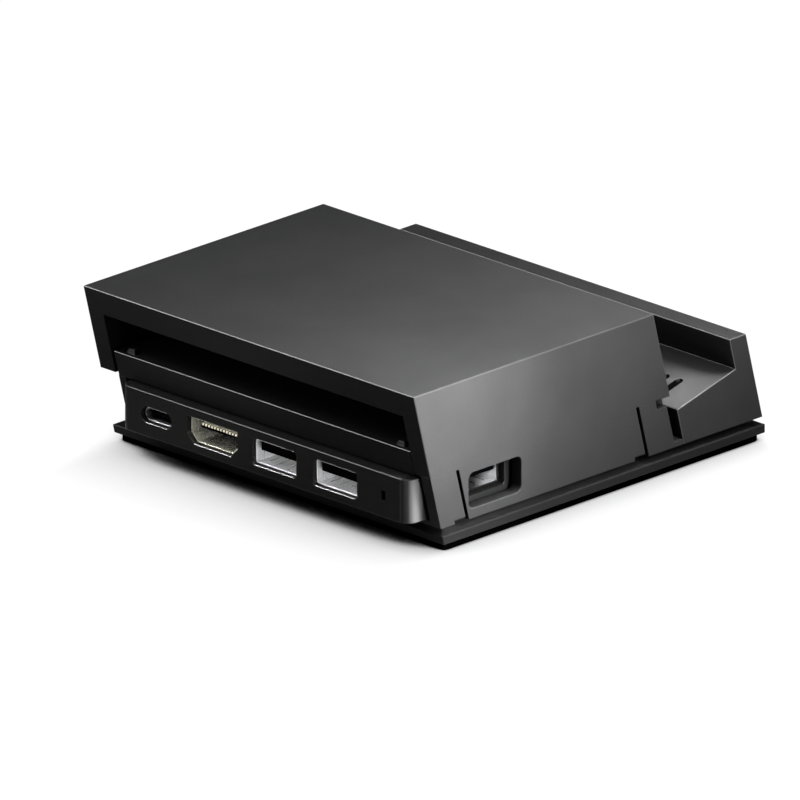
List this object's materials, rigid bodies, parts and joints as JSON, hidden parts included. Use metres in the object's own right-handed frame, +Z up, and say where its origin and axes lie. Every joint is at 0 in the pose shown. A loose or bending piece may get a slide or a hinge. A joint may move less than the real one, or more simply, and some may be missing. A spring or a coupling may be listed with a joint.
{
  "type": "handheld console dock",
  "caption": "Low desktop dock with a leaning moulded cover, rear storage bay, drop-in port hub, front trough and lip that hold a handheld console upright, and a rubber-footed base plate.",
  "frame": {"origin": "middle of the bounding box, on the surface that the mat stands on", "axes": "+Z up; -Y towards the user, where the trough and lip are; +Y to the ports; -X the side with the window"},
  "size_m": [0.102, 0.1099, 0.0387],
  "materials": {
    "body_plastic": "fine moulded grain, matt black",
    "plate_plastic": "fine moulded grain, matt black",
    "mat_rubber": "dull black rubber",
    "hub_plastic": "satin black",
    "port_steel": "nickel-plated sheet steel",
    "video_steel": "pale gold plated sheet steel",
    "tongue_plastic": "black moulded insert",
    "contact_gold": "gold flash",
    "board_green": "solder mask",
    "chip_black": "moulded package",
    "inductor_grey": "pressed ferrite",
    "can_aluminium": "drawn can",
    "light_clear": "clear moulded light pipe",
    "screw_steel": "dark zinc plated steel"
  },
  "bodies": {
    "root": {"top_cover": "body_plastic", "storage_shelf": "body_plastic", "lower_housing": "body_plastic", "side_panel": "body_plastic", "cradle": "body_plastic", "base_plate": "plate_plastic", "foot_mat": "mat_rubber", "cover_screws": "screw_steel", "base_screws": "screw_steel", "hub_case": "hub_plastic", "hub_lid": "hub_plastic", "hub_board": "board_green", "hub_screws": "screw_steel", "power_port_shell": "port_steel", "power_port_tongue": "tongue_plastic", "host_port_shell": "port_steel", "host_port_tongue": "tongue_plastic", "video_port_shell": "video_steel", "video_port_tongue": "tongue_plastic", "video_port_contacts": "contact_gold", "status_led": "light_clear", "light_pipe": "light_clear", "hub_chip": "chip_black", "video_chip": "chip_black", "power_chip": "chip_black", "power_inductor": "inductor_grey", "board_capacitors": "can_aluminium", "left_data_shell": "port_steel", "left_data_tongue": "tongue_plastic", "left_data_contacts": "contact_gold", "right_data_shell": "port_steel", "right_data_tongue": "tongue_plastic", "right_data_contacts": "contact_gold", "side_data_shell": "port_steel", "side_data_tongue": "tongue_plastic", "side_data_contacts": "contact_gold"}
  },
  "joints": []
}
